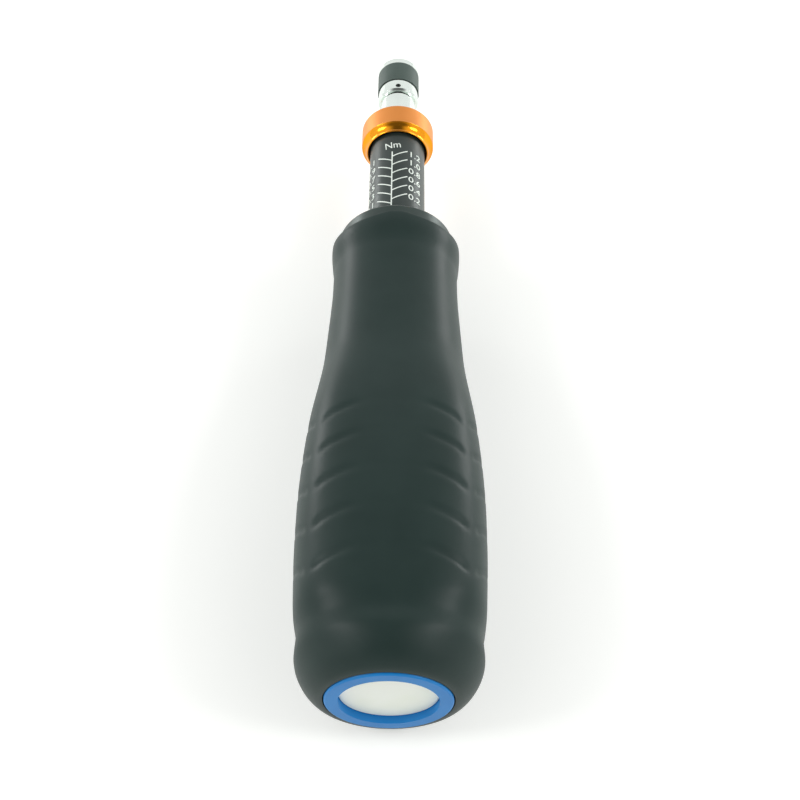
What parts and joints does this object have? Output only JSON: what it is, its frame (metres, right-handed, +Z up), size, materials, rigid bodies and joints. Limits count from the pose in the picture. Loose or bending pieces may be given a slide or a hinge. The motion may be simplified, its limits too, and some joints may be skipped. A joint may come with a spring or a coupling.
{
  "type": "torque screwdriver",
  "caption": "Adjustable torque screwdriver: moulded grip, scaled setting barrel with lock ring, ball clutch and quick-change hexagon chuck.",
  "frame": {"origin": "on the floor plane, under the middle of the tool's bounding box", "axes": "+Y along the tool's axis from the end ring to the tip, +Z up through the barrel's scale, +X to the right seen from behind the handle"},
  "size_m": [0.0414, 0.198, 0.0415],
  "materials": {
    "grip_rubber": "matte moulded rubber",
    "core_alloy": "machined",
    "end_ring_blue": "satin",
    "end_disc_white": "smooth",
    "collar_black": "satin black anodised",
    "brass": "machined",
    "bronze": "machined",
    "steel": "ground",
    "spring_steel": "drawn wire",
    "bearing_steel": "polished",
    "guide_chrome": "polished",
    "chuck_chrome": "polished",
    "magnet_nickel": "plated",
    "barrel_black": "satin black anodised with white marks",
    "ring_orange": "satin orange anodised",
    "band_black": "matte",
    "screw_black": "blackened"
  },
  "bodies": {
    "handle": {"grip_sleeve": "grip_rubber", "handle_core": "core_alloy", "end_ring": "end_ring_blue", "end_disc": "end_disc_white", "index_collar": "collar_black", "thread_bush": "brass", "guide_tube": "guide_chrome", "jam_nut": "steel", "rear_plug": "steel", "thrust_washer": "bronze", "ball_cage": "brass", "bush_screw_1": "screw_black", "bush_screw_2": "screw_black", "bush_screw_3": "screw_black", "cage_pin_1": "screw_black", "cage_pin_2": "screw_black", "cage_pin_3": "screw_black"},
    "spindle": {"spindle": "steel", "chuck_body": "chuck_chrome", "chuck_pin": "screw_black", "magnet": "magnet_nickel", "sleeve_stop": "spring_steel"},
    "clutch": {"pressure_plate": "steel", "clutch_ball_1": "bearing_steel", "clutch_ball_2": "bearing_steel", "clutch_ball_3": "bearing_steel", "main_spring": "spring_steel"},
    "spring_seat": {"spring_seat": "steel"},
    "barrel": {"barrel": "barrel_black", "ring_stop": "spring_steel"},
    "lock_ring": {"lock_ring": "ring_orange"},
    "lock_ball_top": {"lock_ball_1": "bearing_steel"},
    "lock_ball_bottom": {"lock_ball_2": "bearing_steel"},
    "chuck_sleeve": {"chuck_sleeve": "chuck_chrome", "sleeve_band": "band_black", "sleeve_spring": "spring_steel"},
    "bit_ball": {"bit_ball": "bearing_steel"}
  },
  "joints": [
    {"name": "setting_travel", "type": "slide", "parent": "handle", "child": "spring_seat", "axis": [0, -1, 0], "range_m": [0, 0.0198], "deforming": ["main_spring"]},
    {"name": "setting_turn", "type": "hinge", "parent": "spring_seat", "child": "barrel", "pos_m": [0, 0, 0.02075], "axis": [0, -1, 0], "range_deg": [0, 4320]},
    {"name": "clutch_lift", "type": "slide", "parent": "handle", "child": "clutch", "axis": [0, 1, 0], "range_m": [0, 0.0007], "stiffness_N_per_m": 8700, "springref_m": -0.0016, "deforming": ["main_spring"]},
    {"name": "spindle_turn", "type": "hinge", "parent": "handle", "child": "spindle", "pos_m": [0, 0, 0.02075], "axis": [0, 1, 0], "continuous": true},
    {"name": "lock_slide", "type": "slide", "parent": "barrel", "child": "lock_ring", "axis": [0, -1, 0], "range_m": [0, 0.003]},
    {"name": "lock_ball_top_slide", "type": "slide", "parent": "barrel", "child": "lock_ball_top", "axis": [0, 0, -1], "range_m": [0, 0.00048]},
    {"name": "lock_ball_bottom_slide", "type": "slide", "parent": "barrel", "child": "lock_ball_bottom", "axis": [0, 0, 1], "range_m": [0, 0.00048]},
    {"name": "sleeve_slide", "type": "slide", "parent": "spindle", "child": "chuck_sleeve", "axis": [0, 1, 0], "range_m": [0, 0.0022], "stiffness_N_per_m": 400, "springref_m": -0.002, "deforming": ["sleeve_spring"]},
    {"name": "bit_ball_slide", "type": "slide", "parent": "spindle", "child": "bit_ball", "axis": [0, 0, 1], "range_m": [0, 0.0005]}
  ],
  "couplings": [
    {"joint": "setting_turn", "follows": "setting_travel", "rad_per_m": 3808},
    {"joint": "lock_ball_top_slide", "follows": "lock_slide", "ratio": 0.16},
    {"joint": "lock_ball_bottom_slide", "follows": "lock_slide", "ratio": 0.16},
    {"joint": "bit_ball_slide", "follows": "sleeve_slide", "ratio": 0.22727}
  ]
}
